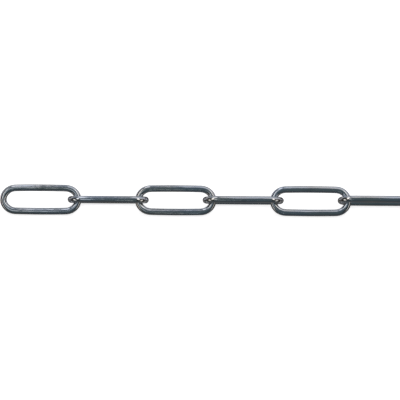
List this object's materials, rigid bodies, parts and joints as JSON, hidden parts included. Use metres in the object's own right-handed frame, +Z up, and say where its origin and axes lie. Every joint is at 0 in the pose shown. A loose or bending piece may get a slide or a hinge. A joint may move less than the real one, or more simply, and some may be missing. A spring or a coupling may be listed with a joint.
{
  "type": "length of long link steel chain",
  "caption": "Straight length of bright steel chain lying on the floor: long oval welded links of round wire, each free to swing on the wire of the one before",
  "frame": {"origin": "on the floor, under the middle of the straight chain", "axes": "+X along the chain, from link_01 to link_20; +Z up"},
  "size_m": [1.0104, 0.0174, 0.0192],
  "materials": {
    "bright_steel": "polished"
  },
  "bodies": {
    "link_01": {"link_01": "bright_steel"},
    "link_02": {"link_02": "bright_steel"},
    "link_03": {"link_03": "bright_steel"},
    "link_04": {"link_04": "bright_steel"},
    "link_05": {"link_05": "bright_steel"},
    "link_06": {"link_06": "bright_steel"},
    "link_07": {"link_07": "bright_steel"},
    "link_08": {"link_08": "bright_steel"},
    "link_09": {"link_09": "bright_steel"},
    "link_10": {"link_10": "bright_steel"},
    "link_11": {"link_11": "bright_steel"},
    "link_12": {"link_12": "bright_steel"},
    "link_13": {"link_13": "bright_steel"},
    "link_14": {"link_14": "bright_steel"},
    "link_15": {"link_15": "bright_steel"},
    "link_16": {"link_16": "bright_steel"},
    "link_17": {"link_17": "bright_steel"},
    "link_18": {"link_18": "bright_steel"},
    "link_19": {"link_19": "bright_steel"},
    "link_20": {"link_20": "bright_steel"}
  },
  "joints": [
    {"name": "swing_02", "type": "hinge", "parent": "link_01", "child": "link_02", "pos_m": [-0.44735, 0, 0.00869], "axis": [0, 0.7071, 0.7071], "range_deg": [-145, 145]},
    {"name": "swing_03", "type": "hinge", "parent": "link_02", "child": "link_03", "pos_m": [-0.39735, 0, 0.00888], "axis": [0, -0.6855, 0.7281], "range_deg": [-145, 145]},
    {"name": "swing_04", "type": "hinge", "parent": "link_03", "child": "link_04", "pos_m": [-0.34735, 0, 0.00869], "axis": [0, -0.7071, -0.7071], "range_deg": [-145, 145]},
    {"name": "swing_05", "type": "hinge", "parent": "link_04", "child": "link_05", "pos_m": [-0.29735, 0, 0.00916], "axis": [0, 0.6522, -0.758], "range_deg": [-145, 145]},
    {"name": "swing_06", "type": "hinge", "parent": "link_05", "child": "link_06", "pos_m": [-0.24735, 0, 0.00869], "axis": [0, 0.7071, 0.7071], "range_deg": [-145, 145]},
    {"name": "swing_07", "type": "hinge", "parent": "link_06", "child": "link_07", "pos_m": [-0.19735, 0, 0.00958], "axis": [0, -0.5948, 0.8039], "range_deg": [-145, 145]},
    {"name": "swing_08", "type": "hinge", "parent": "link_07", "child": "link_08", "pos_m": [-0.14735, 0, 0.00869], "axis": [0, -0.7071, -0.7071], "range_deg": [-145, 145]},
    {"name": "swing_09", "type": "hinge", "parent": "link_08", "child": "link_09", "pos_m": [-0.09735, 0, 0.00916], "axis": [0, 0.6522, -0.758], "range_deg": [-145, 145]},
    {"name": "swing_10", "type": "hinge", "parent": "link_09", "child": "link_10", "pos_m": [-0.04735, 0, 0.00869], "axis": [0, 0.7071, 0.7071], "range_deg": [-145, 145]},
    {"name": "swing_11", "type": "hinge", "parent": "link_10", "child": "link_11", "pos_m": [0.00265, 0, 0.00888], "axis": [0, -0.6855, 0.7281], "range_deg": [-145, 145]},
    {"name": "swing_12", "type": "hinge", "parent": "link_11", "child": "link_12", "pos_m": [0.05265, 0, 0.00869], "axis": [0, -0.7071, -0.7071], "range_deg": [-145, 145]},
    {"name": "swing_13", "type": "hinge", "parent": "link_12", "child": "link_13", "pos_m": [0.10265, 0, 0.00879], "axis": [0, 0.6963, -0.7177], "range_deg": [-145, 145]},
    {"name": "swing_14", "type": "hinge", "parent": "link_13", "child": "link_14", "pos_m": [0.15265, 0, 0.00869], "axis": [0, 0.7071, 0.7071], "range_deg": [-145, 145]},
    {"name": "swing_15", "type": "hinge", "parent": "link_14", "child": "link_15", "pos_m": [0.20265, 0, 0.00875], "axis": [0, -0.7008, 0.7134], "range_deg": [-145, 145]},
    {"name": "swing_16", "type": "hinge", "parent": "link_15", "child": "link_16", "pos_m": [0.25265, 0, 0.00869], "axis": [0, -0.7071, -0.7071], "range_deg": [-145, 145]},
    {"name": "swing_17", "type": "hinge", "parent": "link_16", "child": "link_17", "pos_m": [0.30265, 0, 0.00873], "axis": [0, 0.703, -0.7112], "range_deg": [-145, 145]},
    {"name": "swing_18", "type": "hinge", "parent": "link_17", "child": "link_18", "pos_m": [0.35265, 0, 0.00869], "axis": [0, 0.7071, 0.7071], "range_deg": [-145, 145]},
    {"name": "swing_19", "type": "hinge", "parent": "link_18", "child": "link_19", "pos_m": [0.40265, 0, 0.00871], "axis": [0, -0.7042, 0.71], "range_deg": [-145, 145]},
    {"name": "swing_20", "type": "hinge", "parent": "link_19", "child": "link_20", "pos_m": [0.45265, 0, 0.00869], "axis": [0, -0.7071, -0.7071], "range_deg": [-145, 145]}
  ]
}
